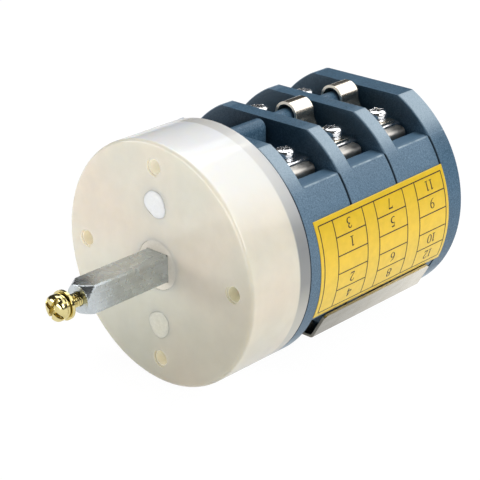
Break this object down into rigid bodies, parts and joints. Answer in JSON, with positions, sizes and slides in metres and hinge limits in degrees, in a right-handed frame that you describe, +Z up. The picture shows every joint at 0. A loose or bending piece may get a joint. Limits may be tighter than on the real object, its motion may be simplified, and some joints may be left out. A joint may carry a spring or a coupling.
{
  "type": "motor reversing switch",
  "caption": "Round three-stage cam switch for reversing a motor, with a cream front cover, blue stacked housings, yellow terminal label and a square shaft.",
  "frame": {"origin": "centre of the front cover's face, which is the centre of the four mounting holes", "axes": "-Y out of the front face along the shaft, +Y back through the stages, +X right towards the label, +Z up towards the open terminal deck"},
  "size_m": [0.0701, 0.126, 0.07],
  "materials": {
    "cover_nylon": "semi-gloss moulded nylon",
    "plug_nylon": "smooth",
    "spigot_plastic": "moulded",
    "housing_plastic": "fine satin moulding",
    "label_vinyl": "printed matt sticker",
    "shaft_steel": "drawn and zinc plated",
    "driver_plastic": "natural acetal",
    "spring_steel": "oiled spring wire",
    "yellow_zinc": "yellow passivated zinc",
    "plunger_plastic": "dark phenolic",
    "contact_brass": "stamped strip",
    "bright_zinc": "bright zinc plated",
    "jumper_nickel": "nickel plated strip"
  },
  "bodies": {
    "root": {"bearing_plate": "spigot_plastic", "clamp_plates": "bright_zinc", "contact_spring_1_left": "spring_steel", "contact_spring_1_right": "spring_steel", "contact_spring_2_left": "spring_steel", "contact_spring_2_right": "spring_steel", "contact_spring_3_left": "spring_steel", "contact_spring_3_right": "spring_steel", "end_plate": "housing_plastic", "fixed_contact_1": "contact_brass", "fixed_contact_10": "contact_brass", "fixed_contact_11": "contact_brass", "fixed_contact_12": "contact_brass", "fixed_contact_2": "contact_brass", "fixed_contact_3": "contact_brass", "fixed_contact_4": "contact_brass", "fixed_contact_5": "contact_brass", "fixed_contact_6": "contact_brass", "fixed_contact_7": "contact_brass", "fixed_contact_8": "contact_brass", "fixed_contact_9": "contact_brass", "front_cover": "cover_nylon", "hole_plugs": "plug_nylon", "jumper_strap_2": "jumper_nickel", "jumper_strap_3": "jumper_nickel", "label": "label_vinyl", "link_bar": "jumper_nickel", "return_spring": "spring_steel", "stage_1_housing": "housing_plastic", "stage_2_housing": "housing_plastic", "stage_3_housing": "housing_plastic", "terminal_nuts": "bright_zinc", "terminal_screws": "bright_zinc", "terminal_spring_washers": "bright_zinc", "tie_nuts": "bright_zinc", "tie_screws": "bright_zinc"},
    "shaft": {"shaft": "shaft_steel", "driver": "driver_plastic", "cam_1": "driver_plastic", "cam_2": "driver_plastic", "cam_3": "driver_plastic", "rear_bush": "driver_plastic", "end_screw": "yellow_zinc", "end_spring_washer": "yellow_zinc", "end_flat_washer": "yellow_zinc"},
    "plunger_1_right": {"plunger_1_right": "plunger_plastic", "contact_bridge_1_right": "contact_brass"},
    "plunger_1_left": {"plunger_1_left": "plunger_plastic", "contact_bridge_1_left": "contact_brass"},
    "plunger_2_right": {"plunger_2_right": "plunger_plastic", "contact_bridge_2_right": "contact_brass"},
    "plunger_2_left": {"plunger_2_left": "plunger_plastic", "contact_bridge_2_left": "contact_brass"},
    "plunger_3_right": {"plunger_3_right": "plunger_plastic", "contact_bridge_3_right": "contact_brass"},
    "plunger_3_left": {"plunger_3_left": "plunger_plastic", "contact_bridge_3_left": "contact_brass"}
  },
  "joints": [
    {"name": "shaft_turn", "type": "hinge", "parent": "root", "child": "shaft", "pos_m": [0, 0, 0], "axis": [0, 1, 0], "range_deg": [-45, 45], "stiffness_Nm_per_rad": 0.25, "deforming": ["return_spring"]},
    {"name": "plunger_1_right_slide", "type": "slide", "parent": "root", "child": "plunger_1_right", "axis": [1, 0, 0], "range_m": [-0.0019, 0.0019], "deforming": ["contact_spring_1_right"]},
    {"name": "plunger_1_left_slide", "type": "slide", "parent": "root", "child": "plunger_1_left", "axis": [1, 0, 0], "range_m": [-0.0019, 0.0019], "deforming": ["contact_spring_1_left"]},
    {"name": "plunger_2_right_slide", "type": "slide", "parent": "root", "child": "plunger_2_right", "axis": [1, 0, 0], "range_m": [-0.0019, 0.0019], "deforming": ["contact_spring_2_right"]},
    {"name": "plunger_2_left_slide", "type": "slide", "parent": "root", "child": "plunger_2_left", "axis": [1, 0, 0], "range_m": [-0.0019, 0.0019], "deforming": ["contact_spring_2_left"]},
    {"name": "plunger_3_right_slide", "type": "slide", "parent": "root", "child": "plunger_3_right", "axis": [1, 0, 0], "range_m": [-0.0019, 0.0019], "deforming": ["contact_spring_3_right"]},
    {"name": "plunger_3_left_slide", "type": "slide", "parent": "root", "child": "plunger_3_left", "axis": [1, 0, 0], "range_m": [-0.0019, 0.0019], "deforming": ["contact_spring_3_left"]}
  ],
  "couplings": [
    {"joint": "plunger_1_right_slide", "follows": "shaft_turn", "m_per_rad": 0.0024},
    {"joint": "plunger_1_left_slide", "follows": "shaft_turn", "m_per_rad": 0.0024},
    {"joint": "plunger_2_right_slide", "follows": "shaft_turn", "m_per_rad": 0.0024},
    {"joint": "plunger_2_left_slide", "follows": "shaft_turn", "m_per_rad": 0.0024},
    {"joint": "plunger_3_right_slide", "follows": "shaft_turn", "m_per_rad": 0.0024},
    {"joint": "plunger_3_left_slide", "follows": "shaft_turn", "m_per_rad": 0.0024}
  ]
}
